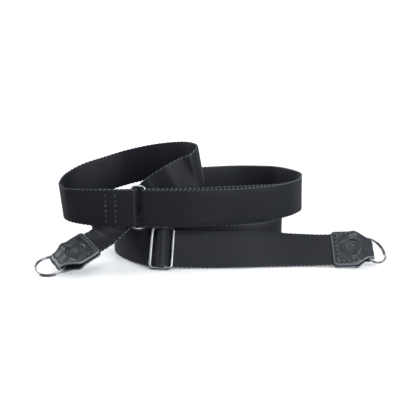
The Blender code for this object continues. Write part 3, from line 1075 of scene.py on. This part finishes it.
@dataclass
class LeatherTab:
    """One leather end tab, folded round its split ring and sewn to the webbing."""

    side: Side
    rear: np.ndarray
    along: np.ndarray
    width: np.ndarray
    inward: np.ndarray
    bend: float
    leather: bpy.types.Material
    thread: bpy.types.Material
    hole: bpy.types.Material
    thickness: float = 0.0012
    length: float = 0.0273
    body_width: float = 0.0270
    loop_width: float = 0.0150
    shoulder: float = 0.0155
    insert: float = 0.0120
    loop_room: float = 0.0046
    swell: float = 0.0040
    corner: float = 0.0026
    stitch_inset: float = 0.0024
    stitch_pitch: float = 0.0033
    badge_at: float = 0.0117
    badge_radius: float = 0.0057
    ring_radius: float = 0.0037
    rim_press: float = 0.00030
    rim_width: float = 0.0007
    line_inset: float = 0.0012
    line_press: float = 0.00013
    line_spread: float = 0.00028
    groove_press: float = 0.00032
    groove_spread: float = 0.00062
    badge_press: float = 0.00060
    badge_spread: float = 0.00066
    badge_sink: float = 0.00018
    ring_press: float = 0.00036
    ring_spread: float = 0.00048
    stitch_size: tuple[float, float] = (0.0021, 0.00062)
    stitch_sink: float = 0.00020
    hole_size: tuple[float, float] = (0.0015, 0.0013)
    hole_sink: float = 0.00026
    columns: int = 116
    step: float = 0.00024
    profile: np.ndarray = field(init=False)
    normals: np.ndarray = field(init=False)
    travelled: np.ndarray = field(init=False)
    rear_distance: np.ndarray = field(init=False)

    def __post_init__(self) -> None:
        """Draw the outer face's profile from the front leaf's rear to the back's."""
        nose_radius = self.half_gap(self.length) + self.thickness / 2
        self.nose_at = self.length - nose_radius - self.thickness / 2
        flats = np.concatenate([np.arange(0.0, self.nose_at, self.step), [self.nose_at]])
        rows = [(d, self.half_gap(d) + self.thickness, d) for d in flats]
        outer = nose_radius + self.thickness / 2
        for angle in np.linspace(math.pi / 2, -math.pi / 2, 25)[1:-1]:
            ahead = outer * math.cos(angle)
            rows.append((self.nose_at + ahead, outer * math.sin(angle), self.nose_at + ahead))
        rows += [(d, -side, r) for d, side, r in rows[: len(flats)][::-1]]
        placed = []
        for distance, side, _ in rows:
            ahead, outward, angle = self.tab_line(distance)
            placed.append((ahead - side * math.sin(angle), outward + side * math.cos(angle)))
        self.profile = np.array(placed)
        tangent = unit(np.gradient(self.profile, axis=0))
        self.normals = np.stack([-tangent[:, 1], tangent[:, 0]], axis=1)
        steps = np.linalg.norm(np.diff(self.profile, axis=0), axis=1)
        self.travelled = np.concatenate([[0.0], np.cumsum(steps)])
        self.rear_distance = np.array([r for _, _, r in rows])

    def half_gap(self, distance: float) -> float:
        """Find half the room between the two leaves.

        Args:
            distance: metres from the tab's rear edge.

        Returns:
            The distance from the middle line to a leaf's inner face.
        """
        webbing_room = WEBBING_THICKNESS / 2 + PIECE_GAP
        begin = self.insert - PIECE_GAP
        share = float(smooth_share(np.array(distance), begin, begin + 1.4 * self.swell))
        return webbing_room + (self.loop_room / 2 - webbing_room) * share

    def tab_line(self, distance: float) -> tuple[float, float, float]:
        """Follow the middle line, which is straight and then bends at the shoulder.

        Args:
            distance: metres from the tab's rear edge.

        Returns:
            How far the line has gone along and outwards, and its angle.
        """
        droop = math.radians(self.bend)
        bend_length = self.length - self.shoulder
        past = max(distance - self.shoulder, 0.0)
        if past == 0.0:
            return distance, 0.0, 0.0
        angle = droop * min(past / bend_length, 1.0)
        radius = bend_length / droop
        beyond = max(past - bend_length, 0.0)
        ahead = self.shoulder + radius * math.sin(angle) + beyond * math.cos(angle)
        outward = radius * (1 - math.cos(angle)) + beyond * math.sin(angle)
        return ahead, outward, angle

    def half_width(self, distance: np.ndarray) -> np.ndarray:
        """Find half the leather's width, with its round corners and its taper.

        Args:
            distance: metres from the tab's rear edge.

        Returns:
            Half the width at each distance.
        """
        body = self.body_width / 2
        taper = smooth_share(distance, self.shoulder - 0.0010, self.nose_at + 0.0005)
        width = body + (self.loop_width / 2 - body) * (0.45 * taper + 0.55 * taper**0.7)
        short = np.clip(self.corner - distance, 0.0, self.corner)
        return width - (self.corner - np.sqrt(self.corner**2 - short**2))

    def place(self, at: np.ndarray, across: np.ndarray, rise: np.ndarray) -> np.ndarray:
        """Find points of the outer face.

        Args:
            at: metres travelled over the outer face from the front leaf's rear edge.
            across: metres from the middle line, along the webbing's width.
            rise: metres above the face, along its normal.

        Returns:
            One row for each point.
        """
        row = np.arange(len(self.travelled))
        at = np.interp(at, self.travelled, row)
        spot = [np.interp(at, row, self.profile[:, i]) for i in range(2)]
        turn = [np.interp(at, row, self.normals[:, i]) for i in range(2)]
        ahead, outward = spot[0] + turn[0] * rise, spot[1] + turn[1] * rise
        return (
            self.rear
            + ahead[..., None] * self.along
            - outward[..., None] * self.inward
            + across[..., None] * self.width
        )

    def relief(self, rear: np.ndarray, across: np.ndarray, front: np.ndarray) -> np.ndarray:
        """Find how far the outer face is pressed in: rim, stitch groove, circle and ring.

        Args:
            rear: metres from the tab's rear edge.
            across: metres from the middle line.
            front: one on the front leaf, which alone has the circle, and zero on the back.

        Returns:
            The rise at each point, negative where the leather is pressed in.
        """
        half = self.half_width(rear)
        edge = np.minimum(half - np.abs(across), rear)
        body = 1 - smooth_share(rear, self.shoulder - 0.001, self.shoulder + 0.002)
        rise = -self.rim_press * np.clip(1 - edge / self.rim_width, 0.0, 1.0) ** 2
        rise = rise - self.line_press * bell(edge - self.line_inset, self.line_spread) * body
        groove = self.groove_press * bell(edge - self.stitch_inset, self.groove_spread)
        rise = rise - groove * body
        out = np.hypot(rear - self.badge_at, across)
        badge = self.badge_press * bell(out - self.badge_radius, self.badge_spread)
        badge = badge + self.badge_sink * (1 - smooth_share(out, 0.0048, self.badge_radius))
        badge = badge + self.ring_press * bell(out - self.ring_radius, self.ring_spread)
        rise = rise - badge * front
        # Fine ripples at the fold, and the slow unevenness of a hide
        folds = 0.00012 * np.sin(across * 900 + rear * 400) * (1 - body)
        soft = 0.00010 * np.sin(rear * 520 + 1.3) * np.sin(across * 410 + 0.4)
        return rise + soft + folds

    def build(self) -> bpy.types.Object:
        """Cut the leather, fold it, give it its thickness and press its outer face.

        Returns:
            The finished piece.
        """
        rows = len(self.travelled)
        bpy.ops.object.select_all(action="DESELECT")
        bpy.ops.mesh.primitive_grid_add(
            x_subdivisions=rows - 1, y_subdivisions=self.columns, size=2.0
        )
        made = bpy.context.object
        made.name = f"leather_tab_{self.side.value}_skin"
        mesh = made.data
        grid = np.zeros(len(mesh.vertices) * 3)
        mesh.vertices.foreach_get("co", grid)
        grid = grid.reshape(-1, 3)
        row = np.rint((grid[:, 0] + 1) / 2 * (rows - 1)).astype(int)
        rear = self.rear_distance[row]
        across = grid[:, 1] * self.half_width(rear)
        front = (self.travelled[row] < self.travelled[-1] / 2).astype(float)
        rise = self.relief(rear, across, front)
        smooth = self.place(self.travelled[row], across, np.zeros_like(rise))
        pressed = self.place(self.travelled[row], across, rise)
        mesh.vertices.foreach_set("co", smooth.ravel())
        edge = np.minimum(self.half_width(rear) - np.abs(across), rear)
        self.attribute(mesh, "edge_mm", edge / MILLIMETRE)
        # Painted shade, darker where the face is pressed in further
        pressed_shade_mask = np.clip((-rise - 0.00016) / 0.00035, 0.0, 0.85) * (edge > 0.0009)
        self.attribute(mesh, "pressed_shade_mask", pressed_shade_mask)
        mesh.update()
        self.face_out(made)
        wall = made.modifiers.new("wall", "SOLIDIFY")
        wall.thickness = self.thickness
        wall.offset = -1.0
        wall.use_even_offset = True
        apply_modifiers(made)
        # The wall's own points come after the outer face's, which alone is pressed
        mesh = made.data
        walled = np.zeros(len(mesh.vertices) * 3)
        mesh.vertices.foreach_get("co", walled)
        walled[: pressed.size] = pressed.ravel()
        mesh.vertices.foreach_set("co", walled)
        mesh.update()
        bpy.ops.object.shade_smooth()
        dress(made, self.leather, "leather", (f"leather_tab_{self.side.value}",))
        return made

    @staticmethod
    def attribute(mesh: bpy.types.Mesh, name: str, values: np.ndarray) -> None:
        """Store one number for each vertex, for the leather's finish to read.

        Args:
            mesh: the tab's mesh.
            name: the attribute's name.
            values: one number for each vertex.
        """
        layer = mesh.attributes.new(name, "FLOAT", "POINT")
        layer.data.foreach_set("value", values.astype(np.float32))

    def face_out(self, made: bpy.types.Object) -> None:
        """Turn the faces of the open sheet away from the webbing.

        Args:
            made: the folded sheet, before it has its thickness.
        """
        mesh = made.data
        first = mesh.polygons[len(mesh.polygons) // 2]
        middle = self.rear + self.along * self.length / 2
        if (first.center - Vector(middle)).dot(first.normal) < 0:
            mesh.flip_normals()

    def stitch_line(self) -> list[tuple[float, float, float, float]]:
        """Lay out the stitches across the rear edge and along both sides.

        Returns:
            Each stitch's rear distance and across, and its direction in both.
        """
        inset, half = self.stitch_inset, self.body_width / 2
        reach = half - inset
        count = int(2 * (reach - 0.0006) / self.stitch_pitch)
        places = []
        for i in range(count):
            across = (i + 0.5 - count / 2) * self.stitch_pitch
            places.append((inset, across, 0.25, 1.0))
        side_count = int((self.shoulder - inset) / self.stitch_pitch)
        for sign in (-1.0, 1.0):
            for i in range(side_count):
                places.append((inset + (i + 0.35) * self.stitch_pitch, sign * reach, 1.0, 0.22))
        return places

    def sew(self) -> None:
        """Sew both leaves round their edge, with a pricked hole at each stitch."""
        last = self.travelled[-1]
        stitches, holes = [], []
        for rear, across, ahead, over in self.stitch_line():
            for front in (True, False):
                at = rear if front else last - rear
                spot, run, out = self.local_frame(at, across, ahead if front else -ahead, over)
                side = np.cross(out, run)
                stitch = spot - out * self.stitch_sink
                stitches.append(frame_matrix(stitch, run, side, out))
                hole = spot - out * self.hole_sink + run * (self.stitch_pitch / 2)
                holes.append(frame_matrix(hole, run, side, out))
        name = f"leather_tab_{self.side.value}"
        sewn = Stitching(f"{name}_stitches", self.thread, "leather", *self.stitch_size)
        sewn.build(stitches)
        pricked = Stitching(f"{name}_stitch_holes", self.hole, "leather", *self.hole_size)
        pricked.build(holes)

    def local_frame(
        self, at: float, across: float, ahead: float, over: float
    ) -> tuple[np.ndarray, np.ndarray, np.ndarray]:
        """Find a stitch's own frame on the outer face.

        Args:
            at: metres travelled over the outer face.
            across: metres from the middle line.
            ahead: the thread's direction along the face.
            over: the thread's direction across it.

        Returns:
            The point, the thread's direction and the face's normal.
        """
        spots = self.place(
            np.array([at, at + 1e-5]), np.array([across, across]), np.array([0.0, 0.0])
        )
        forward = unit(spots[1] - spots[0])
        out = unit(np.cross(self.width, forward))
        raised = self.place(np.array([at]), np.array([across]), np.array([1e-3]))[0]
        if np.dot(raised - spots[0], out) < 0:
            out = -out
        return spots[0], unit(forward * ahead + self.width * over), out


# Wire hardware and split rings


@dataclass
class WireLoop:
    """A flat loop of round wire, bent to shape and butted at its joint."""

    name: str
    node: str
    finish: bpy.types.Material
    wire: float
    half_across: float
    half_up: float
    sides: int = 10

    def thicken(self, outline: bpy.types.Object) -> bpy.types.Object:
        """Turn an outline of edges into round wire.

        Args:
            outline: a mesh of edges alone.

        Returns:
            The wire as a closed mesh.
        """
        select_only(outline)
        bpy.ops.object.convert(target="CURVE")
        made = bpy.context.object
        made.data.bevel_depth = self.wire / 2
        made.data.bevel_resolution = self.sides // 2
        made.data.use_fill_caps = True
        bpy.ops.object.convert(target="MESH")
        made = bpy.context.object
        bpy.ops.object.mode_set(mode="EDIT")
        bpy.ops.mesh.select_all(action="SELECT")
        bpy.ops.mesh.remove_doubles(threshold=1e-6)
        bpy.ops.mesh.normals_make_consistent(inside=False)
        bpy.ops.object.mode_set(mode="OBJECT")
        bpy.ops.object.shade_smooth_by_angle(angle=SMOOTH_ANGLE)
        return made

    def finish_piece(self, made: bpy.types.Object, place: Matrix) -> bpy.types.Object:
        """Move the loop to its place and dress it.

        Args:
            made: the loop, about the origin.
            place: its frame.

        Returns:
            The finished piece.
        """
        settle(made, place)
        made.name = self.name
        dress(made, self.finish, "steel", (self.node,))
        return made


@dataclass
class AdjusterSlider(WireLoop):
    """The wire slider: a rectangle with round corners and a welded centre bar."""

    corner: float = SLIDER_CORNER_RADIUS
    bar: float = CENTRE_BAR_DIAMETER
    bead_radius: float = 0.00028
    bead_rise: float = 0.00005

    def build(self, place: Matrix) -> bpy.types.Object:
        """Bend the frame from one wire, weld the bar in and put it in place.

        Args:
            place: the slider's frame, with X along the webbing and Y up its width.

        Returns:
            The finished piece.
        """
        bpy.ops.object.select_all(action="DESELECT")
        bpy.ops.mesh.primitive_plane_add(size=2.0)
        outline = bpy.context.object
        bpy.ops.object.mode_set(mode="EDIT")
        bpy.ops.mesh.select_all(action="SELECT")
        bpy.ops.transform.resize(value=(self.half_across, self.half_up, 1.0))
        bpy.ops.mesh.bevel(offset=self.corner, segments=8, affect="VERTICES")
        bpy.ops.mesh.select_all(action="SELECT")
        bpy.ops.mesh.delete(type="ONLY_FACE")
        bpy.ops.object.mode_set(mode="OBJECT")
        made = self.thicken(outline)
        bpy.ops.object.select_all(action="DESELECT")
        bpy.ops.mesh.primitive_cylinder_add(
            vertices=20,
            radius=self.bar / 2,
            depth=2 * self.half_up,
            rotation=(math.pi / 2, 0.0, 0.0),
        )
        bar = bpy.context.object
        bpy.ops.object.shade_smooth_by_angle(angle=SMOOTH_ANGLE)
        bpy.ops.object.transform_apply(rotation=True)
        for sign in (-1.0, 1.0):
            bpy.ops.object.select_all(action="DESELECT")
            bpy.ops.mesh.primitive_torus_add(
                major_radius=self.bar / 2 + self.bead_rise,
                minor_radius=self.bead_radius,
                major_segments=20,
                minor_segments=8,
                location=(0.0, sign * (self.half_up - self.wire / 2 + self.bead_rise), 0.0),
                rotation=(math.pi / 2, 0.0, 0.0),
            )
            bead = bpy.context.object
            bpy.ops.object.shade_smooth()
            bpy.ops.object.transform_apply(location=True, rotation=True)
            bead.select_set(True)
            bar.select_set(True)
            bpy.context.view_layer.objects.active = bar
            bpy.ops.object.join()
        made.select_set(True)
        bpy.context.view_layer.objects.active = made
        bpy.ops.object.join()
        return self.finish_piece(made, place)


@dataclass
class LinkRing(WireLoop):
    """The link ring: straight bars for the webbing, with bowed ends."""

    crown: float = LINK_RING_CROWN

    def build(self, place: Matrix) -> bpy.types.Object:
        """Stretch a circle of wire into the ring and put it in place.

        Args:
            place: the ring's frame, with X along the webbing and Y up its width.

        Returns:
            The finished piece.
        """
        bpy.ops.object.select_all(action="DESELECT")
        bpy.ops.mesh.primitive_circle_add(
            vertices=48, radius=1.0, rotation=(0.0, 0.0, math.pi / 48)
        )
        outline = bpy.context.object
        bpy.ops.object.transform_apply(rotation=True)
        bpy.ops.object.mode_set(mode="EDIT")
        bpy.ops.mesh.select_all(action="SELECT")
        bpy.ops.transform.resize(value=(self.half_across, self.crown, 1.0))
        bpy.ops.object.mode_set(mode="OBJECT")
        for vertex in outline.data.vertices:
            vertex.co.y += math.copysign(self.half_up, vertex.co.y)
        made = self.thicken(outline)
        return self.finish_piece(made, place)


@dataclass
class SplitRing:
    """A split ring of flattened spring wire, drawn here as round wire wound just under two turns."""

    side: Side
    finish: bpy.types.Material
    diameter: float = 0.0198
    wire: float = 0.00106
    turn_gap: float = 0.00020
    turns: float = 1.94
    overhang: float = 0.05
    slip: float = 0.0
    tip: float = 0.0
    steps: int = 150

    def build(self, tab: LeatherTab) -> bpy.types.Object:
        """Wind the wire and hang the ring in its tab's nose.

        Args:
            tab: the leather tab that holds the ring.

        Returns:
            The finished piece.
        """
        radius = (self.diameter - self.wire) / 2
        bpy.ops.object.select_all(action="DESELECT")
        bpy.ops.mesh.primitive_circle_add(
            vertices=16,
            radius=self.wire / 2,
            location=(radius, 0.0, 0.0),
            rotation=(math.pi / 2, 0.0, 0.0),
            fill_type="NOTHING",
        )
        made = bpy.context.object
        bpy.ops.object.transform_apply(location=True, rotation=True)
        pitch = self.wire + self.turn_gap
        wound = made.modifiers.new("wound", "SCREW")
        wound.axis = "Z"
        wound.angle = 2 * math.pi * self.turns
        wound.screw_offset = pitch * self.turns
        wound.steps = self.steps
        wound.render_steps = self.steps
        apply_modifiers(made)
        bpy.ops.object.mode_set(mode="EDIT")
        bpy.ops.mesh.select_all(action="DESELECT")
        bpy.ops.mesh.select_non_manifold()
        bpy.ops.mesh.edge_face_add()
        bpy.ops.mesh.select_all(action="SELECT")
        bpy.ops.mesh.normals_make_consistent(inside=False)
        bpy.ops.object.mode_set(mode="OBJECT")
        bpy.ops.object.shade_smooth_by_angle(angle=SMOOTH_ANGLE)
        nose_radius = tab.loop_room / 2 + tab.thickness
        ahead, outward, angle = tab.tab_line(tab.length - nose_radius)
        angle += math.radians(self.tip)
        forward = tab.along * math.cos(angle) - tab.inward * math.sin(angle)
        centre = tab.rear + tab.along * ahead - tab.inward * outward
        centre = centre + forward * (nose_radius + self.overhang * self.diameter)
        centre = centre + tab.width * self.slip * self.diameter
        axis = np.cross(forward, tab.width)
        lowered = Matrix.Translation((0.0, 0.0, -pitch * self.turns / 2))
        settle(made, frame_matrix(centre, forward, tab.width, axis) @ lowered)
        made.name = f"split_ring_{self.side.value}_wound"
        dress(made, self.finish, "steel", (f"split_ring_{self.side.value}",))
        return made


# Studio: sweep, world, lights and camera


@dataclass
class Studio:
    """The pale sweep, the soft lights and the camera."""

    layout: Layout
    focal_pixels: float = 530.0
    picture_pixels: float = 420.0
    camera_height: float = 0.121
    camera_back: float = 0.378
    pitch: float = 14.0
    sensor: float = 36.0
    floor_size: float = 4.0
    floor_back: float = 0.6
    wall_height: float = 2.5
    wall_bend: float = 0.8
    lamp_colour: tuple[float, float, float] = (0.93, 0.965, 1.0)
    room_colour: tuple[float, float, float, float] = (0.94, 0.97, 1.0, 1.0)

    def build(self) -> None:
        """Set up the sweep, the world, the lights and the camera."""
        self.sweep()
        self.world()
        self.softbox("left_softbox", (-0.80, 0.0, 0.30), (0.0, 0.0, 0.02), 0.5, 5.0)
        self.softbox("right_softbox", (0.60, -0.55, 0.30), (0.0, 0.0, 0.03), 0.5, 9.0)
        self.softbox("top_softbox", (-0.15, 0.35, 0.90), (0.0, 0.0, 0.0), 0.6, 5.0)
        self.softbox("front_softbox", (0.0, -0.55, 0.80), (0.0, 0.0, 0.0), 0.3, 2.5)
        self.camera()

    def sweep(self) -> None:
        """Make the floor that curves up into the backdrop."""
        bpy.ops.object.select_all(action="DESELECT")
        bpy.ops.mesh.primitive_plane_add(size=self.floor_size, location=(0.0, self.floor_back, 0.0))
        floor = bpy.context.object
        floor.name = "sweep"
        bpy.ops.object.transform_apply(location=True)
        bpy.ops.object.mode_set(mode="EDIT")
        bpy.ops.mesh.select_mode(type="EDGE")
        bpy.ops.mesh.select_all(action="DESELECT")
        bpy.ops.object.mode_set(mode="OBJECT")
        for edge in floor.data.edges:
            ends = [floor.data.vertices[i].co.y for i in edge.vertices]
            edge.select = min(ends) > self.floor_back
        bpy.ops.object.mode_set(mode="EDIT")
        up = (0.0, 0.0, self.wall_height)
        bpy.ops.mesh.extrude_region_move(TRANSFORM_OT_translate={"value": up})
        bpy.ops.object.mode_set(mode="OBJECT")
        bend = floor.modifiers.new("bend", "BEVEL")
        bend.width = self.wall_bend
        bend.segments = 16
        apply_modifiers(floor)
        bpy.ops.object.shade_smooth()
        floor.data.materials.append(WhiteAcrylic().build())
        # Glossy rays don't see the sweep, as black flags would keep it out of the metal, which reads dark
        # at its rims
        floor.visible_glossy = False

    def world(self) -> None:
        """Light from behind and above, less from the front, before a plain white room."""
        world = bpy.data.worlds.new("soft studio")
        bpy.context.scene.world = world
        world.use_nodes = True
        tree = world.node_tree
        back = tree.nodes["Background"]
        here = add_node(tree, "ShaderNodeTexCoord")
        parts = add_node(tree, "ShaderNodeSeparateXYZ", None, {0: here.outputs["Generated"]})
        behind = add_node(
            tree, "ShaderNodeMapRange", {"interpolation_type": "SMOOTHSTEP"},
            {"Value": parts.outputs[1], "From Min": -0.35, "From Max": 0.35},
        )
        above = add_node(
            tree, "ShaderNodeMapRange", {"interpolation_type": "SMOOTHSTEP"},
            {"Value": parts.outputs[2], "From Min": 0.50, "From Max": 0.85},
        )
        open_side = add_node(
            tree, "ShaderNodeMath", {"operation": "MAXIMUM"}, {0: behind.outputs[0], 1: above.outputs[0]}
        )
        strength = add_node(
            tree, "ShaderNodeMapRange", None,
            {"Value": open_side.outputs[0], "To Min": 0.04, "To Max": 0.45},
        )
        seen = add_node(tree, "ShaderNodeLightPath")
        white = add_node(
            tree, "ShaderNodeMath", {"operation": "MULTIPLY_ADD"},
            {0: seen.outputs["Is Camera Ray"], 1: 1.1, 2: strength.outputs[0]},
        )
        tree.links.new(white.outputs[0], back.inputs["Strength"])
        back.inputs["Color"].default_value = self.room_colour

    def softbox(
        self,
        name: str,
        place: tuple[float, float, float],
        target: tuple[float, float, float],
        size: float,
        power: float,
    ) -> None:
        """Hang one square soft light and aim it.

        Args:
            name: the light's name.
            place: where it hangs, in metres.
            target: where it points, in metres.
            size: the length of its side, in metres.
            power: its power in watts.
        """
        lamp = bpy.data.lights.new(name, "AREA")
        lamp.shape = "SQUARE"
        lamp.size = size
        lamp.energy = power
        lamp.color = self.lamp_colour
        made = bpy.data.objects.new(name, lamp)
        bpy.context.scene.collection.objects.link(made)
        made.location = place
        aim = Vector(target) - Vector(place)
        made.rotation_euler = aim.to_track_quat("-Z", "Y").to_euler()

    def camera(self) -> None:
        """Place the camera at the picture's angle."""
        lens = bpy.data.cameras.new("camera")
        lens.sensor_fit = "HORIZONTAL"
        lens.sensor_width = self.sensor
        lens.lens = self.sensor * self.focal_pixels / self.picture_pixels
        lens.clip_start = 0.01
        made = bpy.data.objects.new("camera", lens)
        bpy.context.scene.collection.objects.link(made)
        rows = np.array([knot.values() for knot in LONG_KNOTS])
        move = self.layout.long_route.samples[0, :3] - rows[0, :3]
        made.location = Vector(move) + Vector((0.0, -self.camera_back, self.camera_height))
        made.rotation_euler = (math.radians(90.0 - self.pitch), 0.0, 0.0)
        bpy.context.scene.camera = made


# The whole strap


@dataclass
class TabFitting:
    """How one end's tab bends and how its ring hangs."""

    bend: float
    tip: float
    overhang: float
    slip: float


TAB_FITTINGS = {
    Side.RIGHT: TabFitting(-34, -4, 0.05, 0.05),
    Side.LEFT: TabFitting(10, 8, 0.11, 0.0),
}


@dataclass
class CameraStrap:
    """The strap and all its pieces."""

    layout: Layout

    def build(self) -> None:
        """Make every piece of the strap."""
        woven = WovenPolyester().build()
        nickel = NickelPlate().build()
        LongWebbing(self.layout, woven).build()
        ShortWebbing(self.layout, woven).build()
        seam_thread = BondedThread("seam thread", "#4c4e52", "#2c2d30").build()
        WebbingSeams(self.layout, seam_thread).build()
        self.hardware(nickel)
        self.ends(nickel)

    def hardware(self, nickel: bpy.types.Material) -> None:
        """Make the slider and the link ring where the webbing holds them.

        Args:
            nickel: the finish of the wire.
        """
        half_up = (WIRE_OPENING + WIRE_DIAMETER) / 2
        edge, along, width, inward = self.layout.long_route.frame(self.layout.slider_at)
        centre = edge + width * WEBBING_WIDTH / 2 - inward * FOLD_RADIUS
        slider = AdjusterSlider(
            "adjuster_slider_wire", "adjuster_slider", nickel, WIRE_DIAMETER, SLIDER_PITCH, half_up
        )
        slider.build(frame_matrix(centre, along, width, inward))
        route = self.layout.long_route
        edge, along, width, inward = route.frame(route.length)
        centre = edge + width * WEBBING_WIDTH / 2 + inward * FOLD_RADIUS
        centre = centre + along * LINK_RING_PITCH / 2
        ring = LinkRing(
            "link_ring_wire",
            "link_ring",
            nickel,
            WIRE_DIAMETER,
            LINK_RING_PITCH / 2,
            WIRE_OPENING / 2,
        )
        ring.build(frame_matrix(centre, along, width, inward))

    def ends(self, nickel: bpy.types.Material) -> None:
        """Make both leather tabs and their split rings.

        Args:
            nickel: the finish of the rings.
        """
        hide = FinishedCowhide().build()
        thread = BondedThread("waxed tab thread", "#55575b", "#2c2d30").build()
        pricked = PrickedHole().build()
        frames = {
            Side.RIGHT: (self.layout.long_route.frame(0.0), -1.0),
            Side.LEFT: (self.layout.short_route.frame(self.layout.short_route.length), 1.0),
        }
        for side, (frame, outward) in frames.items():
            edge, along, width, inward = frame
            fitting = TAB_FITTINGS[side]
            rear = edge + width * WEBBING_WIDTH / 2
            tab = LeatherTab(
                side, rear, along * outward, width, inward, fitting.bend, hide, thread, pricked
            )
            tab.build()
            tab.sew()
            ring = SplitRing(
                side, nickel, overhang=fitting.overhang, slip=fitting.slip, tip=fitting.tip
            )
            ring.build(tab)


def main() -> None:
    """Load the frame, and build the strap and its studio."""
    logging.basicConfig(level=logging.INFO, format="%(message)s")
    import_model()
    layout = Layout.build()
    Studio(layout).build()
    CameraStrap(layout).build()
    bpy.context.scene.view_settings.view_transform = "Standard"
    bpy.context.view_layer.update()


if __name__ == "__main__":
    main()
